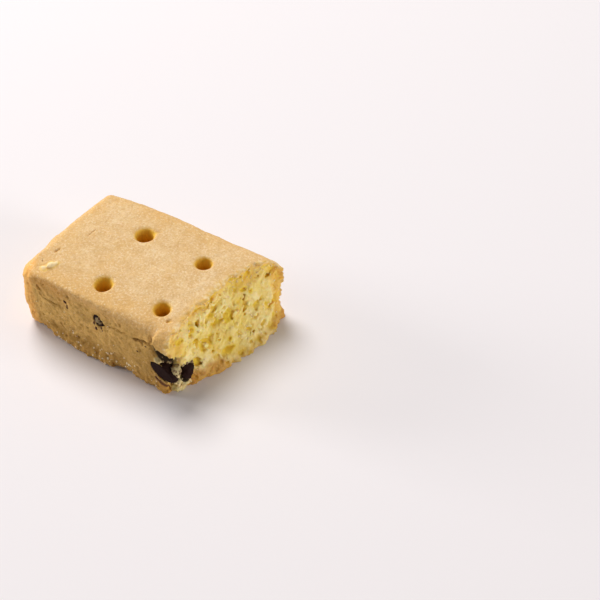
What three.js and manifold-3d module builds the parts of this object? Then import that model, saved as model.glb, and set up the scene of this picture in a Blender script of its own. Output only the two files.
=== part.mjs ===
// Nutrition biscuit bar, one half of a bar that was broken across the middle.
// A baked biscuit with four docker holes and chocolate chips baked into its side and broken end.
// Millimetres, +Z up. +X runs along the bar to the broken end and -Y is the side with the chips.
import * as THREE from 'three';
import { mergeVertices } from 'three/addons/utils/BufferGeometryUtils.js';
import Module from 'manifold-3d';

const { clamp, degToRad, lerp, smoothstep } = THREE.MathUtils;
const wasm = await Module();
wasm.setup();

// Driving sizes of the bar, with x counted from its intact end while it is shaped
const WIDTH = 25;                 // across the bar at the intact end
const HEIGHT = 14.75;             // at the crown of the top
const CROWN = 0.6;                // rise of the top from its long edges to the middle
const BULGE = 0.7;                // each long side swells this much towards the break
const BULGE_LENGTH = 36;          // and reaches that swell this far along
const END_SET = -0.2;             // place of the intact end, and its lean across the bar
const END_SKEW = 0.035;
const PLAN_CORNER = 2.4;          // round of the upright corners
const END_DROP = 0.5;             // fall of the top towards the intact end, over the length below
const END_DROP_LENGTH = 8;
const TOP_EDGE_END = 3.4;         // round of the top edge at the intact end
const TOP_EDGE_FAR = 4.1;         // along the far side
const TOP_EDGE_NEAR = 1.0;        // along the near side, where the edge is tighter
const TOP_EDGE_LIP = 2.6;         // and of the near edge beside the break
const NEAR_EDGE_Y = [5, 9];       // it takes over between these distances from the middle
const NEAR_EDGE_X = [0.5, 5];     // and from the intact end
const FAR_HUMP = { x: 15, reach: 5, rise: 0.3 };
const BASE_EDGE = 0.9;            // round of the base edge

// The break: its edge along the base sweeps back to the near side, its top edge runs out at the far side
const BASE_REACH = 38.6;
const BASE_SWEEP = 7.2;
const BASE_CREST_Y = 9;
const TOP_REACH = 32.2;
const TOP_SWEEP = 5.2;
const TOP_BEND_Y = -4;
const TOP_BEND_POWER = 2.3;
const FAR_CORNER_Y = 9;           // past here the break turns the far corner
const FAR_CORNER_BACK = 1.5;      // and falls back this much in the last stretch
const FAR_CORNER_SPAN = 4;
const CRUMB_HOLLOW = 0.8;         // the crumb tears in behind the crust that rims it
const CRUST_RIM = 2.2;            // breadth of that rim
const BROW = { y: -11, z: 8.6, spread: 2.3, out: 1.0 };   // crumb that bulges out over the chips
const BREAK_ROUND = 0.5;
const CRAG_SIZE = 2.7;            // pitch and height of the crags on the torn crumb
const CRAG_HEIGHT = 0.95;

// Uneven skin: broad swells, then lumps that are rougher on the sides than on the top
const SWELL_SIZE = 9;
const SWELL_HEIGHT = 0.14;
const LUMP_SIZE = 3.1;
const LUMP_HEIGHT = 0.2;
const TOP_LUMPS = 0.25;           // share of the lump height that the top has

// Ragged foot of dough along the base of the near side
const FOOT_START = 5.6;
const FOOT_END = 24.5;
const FOOT_HEIGHT = 2.5;
const FOOT_OUT = 0.35;
const FOOT_GROOVE = 0.4;          // dent that runs above the foot

// Docker holes: place, opening, lean of the axis towards the near side
const HOLE_DEPTH = 5;
const HOLE_SIDES = 20;
const HOLES = [
  { x: 14.6, y: 4.4, width: 3.0, lean: 0 },
  { x: 27.2, y: 4.0, width: 2.5, lean: 0 },
  { x: 15.7, y: -8.7, width: 2.7, lean: 0 },
  { x: 27.4, y: -8.4, width: 2.5, lean: 14 },
];

// Chips: middle of each, its length, breadth and depth, how it lies, and where the side cuts it flush
const CHIP_GAP = 0.3;             // air left between a chip and its pocket
const CHIP_FACES = 22;
const CHIPS = [
  {
    name: 'chip_corner',
    at: [30.2, -12.55, 5.0],
    size: [5.5, 3.0, 3.2],
    turn: [0, 27, 0],
    flush: -13.25,
    seed: 1,
  },
  {
    name: 'chip_break',
    at: [32.4, -9.5, 3.65],
    size: [2.4, 3.0, 3.1],
    turn: [14, 0, 22],
    flush: -14,
    seed: 2,
  },
  {
    name: 'chip_side',
    at: [17.4, -12.2, 10.2],
    size: [2.5, 2.2, 3.0],
    turn: [0, -20, 0],
    flush: -12.9,
    seed: 3,
  },
];

// Hollow under the lip of crust at the near corner of the break
const HOLLOW_AT = [30.8, -12.6, 8.2];
const HOLLOW_SIZE = [7.4, 3.6, 3.3];
const HOLLOW_TURN = [0, 44, 18];

// Cracks in the skin: two ends, width and depth
const CRACKS = [
  { from: [4.6, -12.7, 9.0], to: [9.6, -12.8, 8.5], width: 0.35, depth: 1.1 },
  { from: [24.4, -13.2, 10.9], to: [29.8, -13.2, 10.3], width: 0.9, depth: 2.2 },
  { from: [4.4, -5.6, 14.2], to: [4.2, -9.3, 13.9], width: 0.35, depth: 1.0 },
  { from: [28.6, -13.4, 11.6], to: [29.9, -10.2, 14.4], width: 0.6, depth: 1.0 },
];

// Flakes and crumbs fused to the skin
const FLAKES_ALONG_FOOT = 16;
const FLAKES_AT_CORNER = 7;
const FLAKE_RADIUS = 0.55;
const FLAKE_SINK = 0.42;          // how deep a flake's middle lies under the skin
const FOOT_FLAKE_Z = { low: 0.8, spread: 2.2 };
const CORNER_FLAKE_Y = [-11.8, -6];
const CORNER_FLAKE_Z = { low: 0.9, spread: 1.4 };
const CORNER_FLAKE_GROWTH = 1.2;  // how much larger flakes at the corner are
const STUCK_CRUMB = { at: [5.7, -9.6, 14.05], radius: 0.62, pieces: 3, step: [0.55, 0.75] };

// Skin grid: a box of squares is cast outwards from a core onto the surface
const GRID_BOX = { low: [-1, -15, -1], high: [42, 15, 17] };
const GRID_CORE = { low: [6, -7.5, 4.5], high: [27, 7.5, 9.5] };
const GRID_PITCH = 1.22;
const CAST_STEPS = 40;
const CAST_REACH = 30;
const SEED = 20611;

// Seeded value noise between -1 and 1 on a lattice of the given pitch
function latticeValue(i, j, k) {
  let h = Math.imul(i, 374761393) ^ Math.imul(j, 668265263) ^ Math.imul(k, 1442695041) ^ SEED;
  h = Math.imul(h ^ (h >>> 13), 1274126177);
  h = Math.imul(h ^ (h >>> 15), 2246822519);
  return ((h ^ (h >>> 16)) >>> 0) / 2147483647.5 - 1;
}

function noise(x, y, z, pitch) {
  const cell = [x, y, z].map((value) => Math.floor(value / pitch));
  const part = [x, y, z].map((value, axis) => smoothstep(value / pitch - cell[axis], 0, 1));
  let sum = 0;
  for (let corner = 0; corner < 8; corner += 1) {
    const step = [corner & 1, (corner >> 1) & 1, corner >> 2];
    const weight = step.reduce((w, s, axis) => w * (s ? part[axis] : 1 - part[axis]), 1);
    sum += weight * latticeValue(cell[0] + step[0], cell[1] + step[1], cell[2] + step[2]);
  }
  return sum;
}

// Seeded draws between 0 and 1 for the loose details
function makeDraw(seed) {
  let count = 0;
  return () => {
    count += 1;
    return (latticeValue(seed, count, 7) + 1) / 2;
  };
}

// Where two surfaces meet, the larger distance is rounded off by a radius
function roundMax(a, b, radius) {
  const inside = Math.min(-radius, Math.max(a, b));
  return inside + Math.hypot(Math.max(radius + a, 0), Math.max(radius + b, 0));
}

// Distance outside the upright walls: round corners at the intact end, open at the break
function wallDistance(x, y, z) {
  const swell = BULGE * (1 - (1 - clamp(x / BULGE_LENGTH, 0, 1)) ** 2);
  const side = Math.abs(y) - (WIDTH / 2 + swell - PLAN_CORNER);
  const end = PLAN_CORNER - (x - END_SET - END_SKEW * y);
  const flat = Math.min(Math.max(side, end), 0);
  return flat + Math.hypot(Math.max(side, 0), Math.max(end, 0)) - PLAN_CORNER - footSpread(x, y, z);
}

// The foot stands out at the base of the near side, below a shallow groove
function footSpread(x, y, z) {
  const along = smoothstep(x, FOOT_START, FOOT_START + 1) * (1 - smoothstep(x, FOOT_END - 3, FOOT_END));
  const foot = 1 - smoothstep(z, 0.5 * FOOT_HEIGHT, FOOT_HEIGHT);
  const above = 1 - smoothstep(z, FOOT_HEIGHT, 2 * FOOT_HEIGHT);
  const groove = smoothstep(z, 0.6 * FOOT_HEIGHT, FOOT_HEIGHT) * above;
  return y < 0 ? along * (FOOT_OUT * foot - FOOT_GROOVE * groove) : 0;
}

function topDistance(x, y, z) {
  const across = y / (WIDTH / 2);
  const hump = FAR_HUMP.rise * Math.exp(-(((x - FAR_HUMP.x) / FAR_HUMP.reach) ** 2)) * Math.max(0, across);
  const drop = END_DROP * (1 - smoothstep(x, END_SET, END_DROP_LENGTH));
  return z - (HEIGHT - CROWN * across ** 2 - drop + hump);
}

// Torn end: base edge and top edge joined, the crumb between them drawn in, then cragged
function breakDistance(x, y, z) {
  const sweep = (BASE_CREST_Y - y) / (BASE_CREST_Y + WIDTH / 2);
  const base = BASE_REACH - BASE_SWEEP * sweep ** 2;
  const bend = Math.max(0, (y - TOP_BEND_Y) / (WIDTH / 2 - TOP_BEND_Y));
  const top = TOP_REACH + TOP_SWEEP * bend ** TOP_BEND_POWER;
  const back = FAR_CORNER_BACK * (Math.max(0, y - FAR_CORNER_Y) / FAR_CORNER_SPAN) ** 2;
  const up = clamp(z / HEIGHT, 0, 1);
  const rim = Math.min(z, HEIGHT - z, WIDTH / 2 + BULGE - Math.abs(y));
  const crumb = CRUMB_HOLLOW * smoothstep(rim, 0, CRUST_RIM);
  const brow = BROW.out * Math.exp(-((y - BROW.y) ** 2 + (z - BROW.z) ** 2) / BROW.spread ** 2);
  const crag = CRAG_HEIGHT * noise(x, y, z, CRAG_SIZE) + 0.5 * CRAG_HEIGHT * noise(x, y, z, CRAG_SIZE / 2);
  return x - (lerp(base, top, up) - back - crumb + brow + crag / 2);
}

function topRound(x, y) {
  const along = smoothstep(x, 0, TOP_REACH);
  const far = lerp(TOP_EDGE_END, TOP_EDGE_FAR, along);
  const near = lerp(TOP_EDGE_NEAR, TOP_EDGE_LIP, along);
  return lerp(far, near, smoothstep(-y, ...NEAR_EDGE_Y) * smoothstep(x, ...NEAR_EDGE_X));
}

// Distance outside the whole biscuit, before holes and pockets
function skinDistance(x, y, z) {
  const sided = 1 - smoothstep(z, HEIGHT - 2.5, HEIGHT - 0.5);
  const lumps = LUMP_HEIGHT * lerp(TOP_LUMPS, 1, sided) * noise(x, y, z, LUMP_SIZE);
  const walls = wallDistance(x, y, z) - lumps - SWELL_HEIGHT * noise(x, y, z, SWELL_SIZE);
  const lid = topDistance(x, y, z) - TOP_LUMPS * lumps;
  const bar = roundMax(roundMax(walls, lid, topRound(x, y)), -z - BASE_EDGE / 3, BASE_EDGE);
  return roundMax(bar, breakDistance(x, y, z), BREAK_ROUND);
}

// First point where a ray from inside the biscuit leaves it
function castOut(origin, direction) {
  const point = new THREE.Vector3();
  let inside = 0;
  let outside = CAST_REACH;
  for (let step = 0; step < CAST_STEPS; step += 1) {
    const middle = (inside + outside) / 2;
    point.copy(origin).addScaledVector(direction, middle);
    if (skinDistance(point.x, point.y, point.z) < 0) {
      inside = middle;
    } else {
      outside = middle;
    }
  }
  return point;
}

function skinGeometry() {
  const low = new THREE.Vector3(...GRID_BOX.low);
  const high = new THREE.Vector3(...GRID_BOX.high);
  const span = high.clone().sub(low);
  const squares = span.toArray().map((length) => Math.round(length / GRID_PITCH));
  const geometry = new THREE.BoxGeometry(span.x, span.y, span.z, ...squares);
  const middle = low.clone().add(high).multiplyScalar(0.5);
  geometry.translate(middle.x, middle.y, middle.z);
  const coreLow = new THREE.Vector3(...GRID_CORE.low);
  const coreHigh = new THREE.Vector3(...GRID_CORE.high);
  const position = geometry.attributes.position;
  const vertex = new THREE.Vector3();
  for (let index = 0; index < position.count; index += 1) {
    vertex.fromBufferAttribute(position, index);
    const origin = vertex.clone().clamp(coreLow, coreHigh);
    const cast = castOut(origin, vertex.clone().sub(origin).normalize());
    position.setXYZ(index, cast.x, cast.y, cast.z);
  }
  return geometry;
}

// Closed three.js geometry to a solid that can be joined and cut, and back
function solidOf(geometry) {
  const bare = geometry.clone();
  bare.deleteAttribute('normal');
  bare.deleteAttribute('uv');
  const merged = mergeVertices(bare, 1e-5);
  const vertProperties = new Float32Array(merged.attributes.position.array);
  const triVerts = new Uint32Array(merged.index.array);
  return new wasm.Manifold(new wasm.Mesh({ numProp: 3, vertProperties, triVerts }));
}

function geometryOf(solid) {
  const mesh = solid.getMesh();
  const geometry = new THREE.BufferGeometry();
  geometry.setAttribute('position', new THREE.BufferAttribute(new Float32Array(mesh.vertProperties), 3));
  geometry.setIndex(new THREE.BufferAttribute(new Uint32Array(mesh.triVerts), 1));
  geometry.computeVertexNormals();
  return geometry;
}

function turned(geometry, turn, at) {
  const angles = turn.map((angle) => degToRad(angle));
  geometry.applyMatrix4(new THREE.Matrix4().makeRotationFromEuler(new THREE.Euler(...angles)));
  return geometry.translate(...at);
}

// Docker hole: a flared mouth, a tapering bore and a blunt end, closed on its axis
function holeGeometry(hole) {
  const radius = hole.width / 2;
  const profile = [
    new THREE.Vector2(0, -HOLE_DEPTH),
    new THREE.Vector2(0.5 * radius, -HOLE_DEPTH + 0.2),
    new THREE.Vector2(0.75 * radius, -HOLE_DEPTH + 1),
    new THREE.Vector2(0.9 * radius, -1.6),
    new THREE.Vector2(1.02 * radius, -0.7),
    new THREE.Vector2(1.3 * radius, 0.05),
    new THREE.Vector2(2 * radius, 1.2),
    new THREE.Vector2(0, 1.2),
  ];
  const lathe = new THREE.LatheGeometry(profile, HOLE_SIDES).rotateX(Math.PI / 2);
  const across = hole.y / (WIDTH / 2);
  return turned(lathe, [-hole.lean, 0, 0], [hole.x, hole.y, HEIGHT - CROWN * across ** 2]);
}

// Chip: a lumpy lens of chocolate, optionally grown to make its pocket
function chipGeometry(chip, grow) {
  const geometry = new THREE.SphereGeometry(1, CHIP_FACES, CHIP_FACES / 2);
  const position = geometry.attributes.position;
  for (let index = 0; index < position.count; index += 1) {
    const [x, y, z] = [position.getX(index), position.getY(index), position.getZ(index)];
    const lump = 1 + 0.12 * noise(x + 10 * chip.seed, y, z, 0.7);
    const half = chip.size.map((size) => size / 2 * lump + grow);
    position.setXYZ(index, x * half[0], y * half[1], z * half[2]);
  }
  return turned(geometry, chip.turn, chip.at);
}

// Crack: a sliver that tapers at both ends, set into the skin from its middle outwards
function crackGeometry(crack) {
  const from = new THREE.Vector3(...crack.from);
  const to = new THREE.Vector3(...crack.to);
  const length = from.distanceTo(to);
  const outline = new THREE.Shape();
  outline.moveTo(-length / 2, 0);
  outline.quadraticCurveTo(0, crack.width, length / 2, 0);
  outline.quadraticCurveTo(0, -crack.width, -length / 2, 0);
  const sliver = new THREE.ExtrudeGeometry(outline, {
    depth: 2 * crack.depth,
    bevelEnabled: false,
    curveSegments: 4,
  });
  sliver.translate(0, 0, -crack.depth);
  const middle = from.clone().add(to).multiplyScalar(0.5);
  const along = to.clone().sub(from).normalize();
  const coreLow = new THREE.Vector3(...GRID_CORE.low);
  const core = middle.clone().clamp(coreLow, new THREE.Vector3(...GRID_CORE.high));
  const across = middle.clone().sub(core).cross(along).normalize();
  const outward = along.clone().cross(across).normalize();
  sliver.applyMatrix4(new THREE.Matrix4().makeBasis(along, across, outward).setPosition(middle));
  return sliver;
}

// Hollow under the lip of crust, and flakes and crumbs as small rough stones
function hollowGeometry() {
  const hollow = new THREE.SphereGeometry(0.5, 18, 10).scale(...HOLLOW_SIZE);
  return turned(hollow, HOLLOW_TURN, HOLLOW_AT);
}

function stoneGeometry(at, radius, draw) {
  const stone = new THREE.IcosahedronGeometry(radius, 0);
  stone.scale(0.8 + 0.5 * draw(), 0.7 + 0.4 * draw(), 0.6 + 0.5 * draw());
  return turned(stone, [360 * draw(), 360 * draw(), 360 * draw()], at);
}

function flakeGeometries() {
  const draw = makeDraw(11);
  const flakes = [];
  for (let index = 0; index < FLAKES_ALONG_FOOT; index += 1) {
    const x = lerp(FOOT_START, TOP_REACH - 4, (index + draw()) / FLAKES_ALONG_FOOT);
    const z = FOOT_FLAKE_Z.low + FOOT_FLAKE_Z.spread * draw() ** 2;
    const cast = castOut(new THREE.Vector3(x, 0, z), new THREE.Vector3(0, -1, 0));
    flakes.push(stoneGeometry([x, cast.y + FLAKE_SINK, z], FLAKE_RADIUS * (0.7 + 0.6 * draw()), draw));
  }
  for (let index = 0; index < FLAKES_AT_CORNER; index += 1) {
    const y = lerp(...CORNER_FLAKE_Y, (index + draw()) / FLAKES_AT_CORNER);
    const z = CORNER_FLAKE_Z.low + CORNER_FLAKE_Z.spread * draw();
    const cast = castOut(new THREE.Vector3(20, y, z), new THREE.Vector3(1, 0, 0));
    const radius = CORNER_FLAKE_GROWTH * FLAKE_RADIUS * (0.7 + 0.6 * draw());
    flakes.push(stoneGeometry([cast.x - FLAKE_SINK, y, z], radius, draw));
  }
  for (let index = 0; index < STUCK_CRUMB.pieces; index += 1) {
    const [x, y, z] = STUCK_CRUMB.at;
    const offset = index - (STUCK_CRUMB.pieces - 1) / 2;
    const at = [x + STUCK_CRUMB.step[0] * offset, y + STUCK_CRUMB.step[1] * offset, z];
    flakes.push(stoneGeometry(at, STUCK_CRUMB.radius * (0.75 + 0.4 * draw()), draw));
  }
  return flakes;
}

// The biscuit: skin, flakes joined, then base, holes, hollow, cracks and chip pockets cut
function biscuitGeometry() {
  let biscuit = solidOf(skinGeometry());
  for (const flake of flakeGeometries()) {
    biscuit = biscuit.add(solidOf(flake));
  }
  const belowBase = new THREE.BoxGeometry(120, 80, 10).translate(20, 0, -5);
  const cuts = [
    belowBase,
    hollowGeometry(),
    ...HOLES.map(holeGeometry),
    ...CRACKS.map(crackGeometry),
    ...CHIPS.map((chip) => chipGeometry(chip, CHIP_GAP)),
  ];
  for (const cut of cuts) {
    biscuit = biscuit.subtract(solidOf(cut));
  }
  return geometryOf(biscuit);
}

// A chip as it shows: what would stand out of the side is cut off
function flushChipGeometry(chip) {
  const beyondSide = new THREE.BoxGeometry(20, 10, 20).translate(chip.at[0], chip.flush - 5, chip.at[2]);
  return geometryOf(solidOf(chipGeometry(chip, 0)).subtract(solidOf(beyondSide)));
}

const crust = new THREE.MeshStandardMaterial({ color: 0xdcb67c, roughness: 0.85, metalness: 0 });
const chocolate = new THREE.MeshStandardMaterial({ color: 0x2e1f1b, roughness: 0.45, metalness: 0 });

const bar = new THREE.Group();
const biscuit = new THREE.Mesh(biscuitGeometry(), crust);
biscuit.name = 'biscuit';
bar.add(biscuit);
for (const chip of CHIPS) {
  const piece = new THREE.Mesh(flushChipGeometry(chip), chocolate);
  piece.name = chip.name;
  bar.add(piece);
}

// Origin at the middle of the base
const box = new THREE.Box3().setFromObject(bar);
const middle = box.getCenter(new THREE.Vector3());
bar.position.set(-middle.x, -middle.y, -box.min.z);

export default bar;
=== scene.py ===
"""Looks of one half of a nutrition biscuit bar that was broken across the middle.

The biscuit and its chips are meshes worked out from distance fields, and the specks, crumbs and grains are
small stones set on them. Shapes are in millimetres in the bar's own coordinates: x from the intact end to
the break, y across the bar with the chips on the -y side, which is called near, and z up from the base. The
fields repeat the sizes of the CAD solids.
"""
import math
import zlib

import bmesh
import bpy
import numpy as np
from mathutils import Matrix, Vector
from mathutils.bvhtree import BVHTree


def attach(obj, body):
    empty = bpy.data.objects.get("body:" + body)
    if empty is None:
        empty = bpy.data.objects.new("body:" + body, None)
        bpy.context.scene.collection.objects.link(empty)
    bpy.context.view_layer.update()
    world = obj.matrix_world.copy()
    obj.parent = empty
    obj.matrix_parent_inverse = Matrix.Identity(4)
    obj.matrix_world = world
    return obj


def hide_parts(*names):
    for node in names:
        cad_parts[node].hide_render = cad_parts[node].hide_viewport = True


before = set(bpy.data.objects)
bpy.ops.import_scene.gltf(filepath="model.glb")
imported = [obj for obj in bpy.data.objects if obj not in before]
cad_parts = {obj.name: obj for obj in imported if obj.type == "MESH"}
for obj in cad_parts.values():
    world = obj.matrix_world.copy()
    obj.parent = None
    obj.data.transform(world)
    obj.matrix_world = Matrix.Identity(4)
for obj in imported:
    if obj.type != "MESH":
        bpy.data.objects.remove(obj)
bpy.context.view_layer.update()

MM = 0.001
ZERO_IN_FRAME = (-19.009, 0.165, 0.0)   # where the bar's own zero lies in the frame

# Sizes of the bar, as in the solids
WIDTH = 25.0
HEIGHT = 14.75
CROWN = 0.6
BULGE = 0.7
BULGE_LENGTH = 36.0
END_SET = -0.2
END_SKEW = 0.035
PLAN_CORNER = 2.4
END_DROP = 0.5
END_DROP_LENGTH = 8.0
TOP_EDGE_END = 3.4
TOP_EDGE_FAR = 4.1
TOP_EDGE_LIP = 2.6
NEAR_EDGE_CRISP = 0.55   # tighter than in the solids, whose facets blunt the near edge
NEAR_EDGE_BLUNTS_X = 13.0   # from here on it grows rounder towards the break
FAR_HUMP = {"x": 15.0, "reach": 5.0, "rise": 0.3}
BASE_EDGE = 0.9

# Sizes of the break, as in the solids
BASE_REACH = 38.6
BASE_SWEEP = 7.2
BASE_CREST_Y = 9.0
TOP_REACH = 32.2
TOP_SWEEP = 5.2
TOP_BEND_Y = -4.0
TOP_BEND_POWER = 2.3
FAR_CORNER_Y = 9.0
FAR_CORNER_BACK = 1.5
FAR_CORNER_SPAN = 4.0
CRUMB_HOLLOW = 0.8
CRUST_RIM = 2.2
BROW = {"y": -11.0, "z": 8.6, "spread": 2.3, "out": 1.0}
CRAG_SIZE = 2.7
CRAG_HEIGHT = 0.95

# Unevenness and foot, as in the solids
SEED = 20611
SWELL_SIZE = 9.0
SWELL_HEIGHT = 0.14
LUMP_SIZE = 3.1
LUMP_HEIGHT = 0.2
TOP_LUMPS = 0.25
FOOT_START = 5.6
FOOT_START_LENGTH = 1.0
FOOT_END = 24.5
FOOT_END_LENGTH = 3.0
FOOT_HEIGHT = 2.5
FOOT_OUT = 0.35
FOOT_GROOVE = 0.4

# Docker holes: place, width and lean, as in the solids
HOLE_DEPTH = 5.0
HOLE_SHARE = 0.96   # of its width that a bore has at the mouth
HOLE_TAPER = 0.045
HOLE_FLOOR_ROUND = 0.6
HOLE_FLARE = {"out": 0.55, "depth": 0.6, "above": 0.5}
HOLES = (
    (14.6, 4.4, 3.0, 0.0),
    (27.2, 4.0, 2.5, 0.0),
    (15.7, -8.7, 2.7, 0.0),
    (27.4, -8.4, 2.5, 14.0),
)

# Chips: middle, size, turn and flush side, as in the solids, and how lumpy they are
CHIPS = {
    "chip_corner": {
        "at": (30.2, -12.55, 5.0), "size": (5.5, 3.0, 3.2), "turn": (0, 27, 0), "flush": -13.25, "lumps": 0.1,
    },
    "chip_break": {
        "at": (32.4, -9.5, 3.65), "size": (2.4, 3.0, 3.1), "turn": (14, 0, 22), "flush": -14.0, "lumps": 0.22,
    },
    "chip_side": {
        "at": (17.4, -12.2, 10.2), "size": (2.5, 2.2, 3.0), "turn": (0, -20, 0), "flush": -12.9, "lumps": 0.1,
    },
}

# Hollow under the lip of crust at the near corner of the break: middle, size and turn, as in the solids
HOLLOW = ((30.8, -12.6, 8.2), (7.4, 3.6, 3.3), (0, 44, 18))

# Lip of crust beside the break: where its crease runs and leans, and how far it stands out
LIP = {"x": 29.6, "step": 0.7, "lean": 0.45, "z": 9.6, "rise": 1.2, "out": 0.5}

# Cracks in the skin: two ends, half width and depth; those of the near side all run at one y
NEAR_SIDE_Y = -11.0
CRACKED_Y = -13.0
CRACKS = (
    ((4.6, CRACKED_Y, 9.0), (9.6, CRACKED_Y, 8.5), 0.16, 0.4),
    ((24.0, CRACKED_Y, 10.0), (29.6, CRACKED_Y, 11.2), 0.26, 0.85),
    ((26.6, CRACKED_Y, 10.8), (30.8, CRACKED_Y, 10.2), 0.26, 0.85),
    ((4.4, -5.7, 14.0), (3.9, -7.4, 13.95), 0.24, 0.7),
    ((3.8, -7.7, 13.95), (3.6, -9.6, 13.85), 0.3, 0.8),
    ((28.4, -13.6, 11.2), (30.3, -9.4, 14.5), 0.42, 0.8),
    ((6.6, 1.6, 14.6), (5.9, -2.6, 14.6), 0.22, 0.24),
    ((15.6, 5.2, 14.7), (17.0, 6.4, 14.6), 0.26, 0.5),
    ((18.6, CRACKED_Y, 10.4), (23.0, CRACKED_Y, 10.0), 0.15, 0.35),
)
CRACK_TIP = 0.25   # share of its width that a crack keeps at its ends

# Bites out of the foot of the near side: place along the bar, breadth and depth
UNDERCUTS = (
    (2.4, 2.8, 0.6),
    (21.4, 2.2, 0.8),
)

# Crumbs fused to the skin and the broken corner: middle and size
FUSED = (
    ((5.6, -9.6, 14.15), (1.9, 1.9, 1.5)),
    ((4.7, -10.8, 13.95), (1.3, 1.2, 1.2)),
    ((6.0, -9.0, 14.35), (1.1, 1.0, 1.0)),
    ((32.1, -11.9, 5.4), (1.5, 1.9, 2.2)),
    ((29.3, -12.9, 7.4), (1.5, 0.9, 0.8)),
    ((31.9, -11.6, 2.6), (1.6, 1.5, 1.5)),
    ((32.4, -10.4, 1.7), (1.5, 1.6, 1.4)),
    ((31.7, -11.9, 1.0), (1.8, 1.5, 1.5)),
    ((32.1, -10.9, 0.7), (1.6, 1.6, 1.3)),
)
PAD = FUSED[3]   # the one that lies between the chips

# Dents in the torn crumb and above the base crust: middle and size
DENTS = (
    ((35.5, -1.4, 2.5), (2.0, 2.6, 1.1)),
    ((37.5, 10.1, 1.9), (1.2, 1.0, 1.2)),
    ((38.2, 8.9, 0.9), (1.2, 1.3, 0.8)),
    ((34.3, 0.4, 7.9), (1.1, 1.6, 0.9)),
    ((32.7, -2.2, 10.1), (0.9, 1.0, 0.9)),
    ((32.3, -7.2, 11.0), (0.9, 1.1, 1.2)),
    ((34.2, 5.3, 10.9), (0.8, 0.9, 0.6)),
    ((34.9, 6.3, 10.0), (0.7, 0.6, 0.8)),
    ((35.1, -0.5, 4.3), (0.7, 0.8, 0.6)),
    ((32.2, -10.5, 11.4), (0.7, 1.2, 0.7)),
)

# Smear of melted chocolate under the corner chip: two ends and half width
SMEAR = {"from": (28.9, -13.0, 3.0), "to": (30.8, -13.0, 2.0), "width": 0.62}

# Noise of its own for each name: height and pitch
RELIEF = {
    "fine": (0.035, 0.4), "pebbles": (0.05, 0.85), "dimples": (0.03, 1.9),
    "streaks": (0.07, 0.6), "clods": (0.16, 1.2), "side grain": (0.11, 0.52), "side pits": (1.0, 0.8),
    "ragged": (0.12, 1.5), "ragged fine": (0.1, 0.36), "foot crumbs": (0.34, 0.75),
    "swells": (0.25, 2.4), "clumps": (0.36, 1.15), "crumb grains": (0.22, 0.5), "crumb fine": (0.07, 0.3),
    "pits": (1.0, 1.2), "pits fine": (0.6, 0.55), "pit zones": (0.45, 4.0), "dent wall": (0.08, 0.5),
    "jagged": (0.5, 1.2), "jagged fine": (0.28, 0.5), "teeth": (0.8, 0.62),
    "flaps": (0.35, 1.4), "flaps fine": (0.2, 0.7), "fused fine": (0.2, 0.5),
    "hollow": (0.22, 0.9), "hole": (0.05, 0.8), "pocket": (0.2, 0.75),
    "chip lump": (1.0, 1.1), "chip fine": (0.5, 0.5), "chip face": (0.04, 0.9),
    "base edge": (0.6, 1.2), "rim": (0.4, 0.8), "toast": (0.5, 1.3), "corner": (0.3, 1.1),
    "halo": (0.65, 0.8), "cocoa": (1.0, 1.3),
}
CLUMP_MIDDLE = 0.3   # mean of the noise without its sign
SIDE_PIT_DEPTH = 0.24
SIDE_SUNK = 0.04
PIT_DEPTH = 0.65
POCKET_GAP = 0.02
STREAK_STRETCH = 0.4   # what lengths along x and y count for in streaks and teeth
TOOTH_STRETCH = 0.35

# Noise that pushes points about: pitch and reach
WARPS = {
    "crack": (1.6, 0.5), "crack fine": (0.5, 0.15), "clump": (0.9, 0.2), "pit": (0.7, 0.2),
    "side pit": (0.7, 0.25), "dent": (0.6, 0.2), "fused": (0.7, 0.16), "smear": (0.6, 0.15),
}

# Radii of the edges where surfaces meet
ROUND = {"dent": 0.12, "hollow": 0.2, "fused": 0.12, "hole": 0.4, "base": 0.1, "chip": 0.15}
RIM_ROUND = (0.14, 0.45)   # low down and at the top
TOP_RIM_Z = (9.0, 12.0)

# What is left of things where they are weakest
FAR_ROUGH = 0.75   # of the relief of the sides, away from the near side
FAR_RAGGED = 0.45   # of the ragged foot there
FAR_TINT = 0.62   # of the colour of the sides there
RIM_CRUMB = 0.45   # of the relief of the crumb at its rim
FAR_FLAPS = 0.8   # share of the flaps that is lost at the far side
BASE_FAINT = 0.35   # of the brown of the base
BASE_RISE = 1.1   # how much higher that brown reaches in the near half
TOAST_UNEVEN = {"lid": 1.8, "walls": 2.0}
TOAST_SPOT = {"y": 6.5, "z": 12.3, "breadth": 2.2, "height": 1.3}
# grey in the hollow, partly painted shade
HOLLOW_GREY_SHADE = 0.6
GREY_CORNER = (0.4, 0.85)   # low down and above
SMEAR_CORE = 0.6

# Dark specks on the near side: place along the bar, height and breadth
SPECKS = (
    (10.35, 10.75, 0.75), (10.75, 10.25, 0.5), (10.65, 9.55, 0.55), (27.1, 9.5, 0.4), (25.3, 7.5, 0.38),
    (16.75, 8.15, 0.6), (18.15, 8.3, 0.4), (16.4, 9.2, 0.5), (22.3, 8.9, 0.25), (17.9, 8.75, 0.45),
)
SPECK_RAYS_Y = -20.0   # where the rays start that find the skin for them

# Crumb fragments on the chip of the near side, in the same way
FRAGMENTS = (
    (17.25, 10.35, 1.15), (17.75, 9.95, 0.7), (16.95, 9.9, 0.6), (18.4, 10.8, 0.45), (17.6, 10.75, 0.6),
)
FRAGMENT_Y = -12.95
FRAGMENT_NORMAL = (0.0, -1.0, 0.3)

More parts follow.
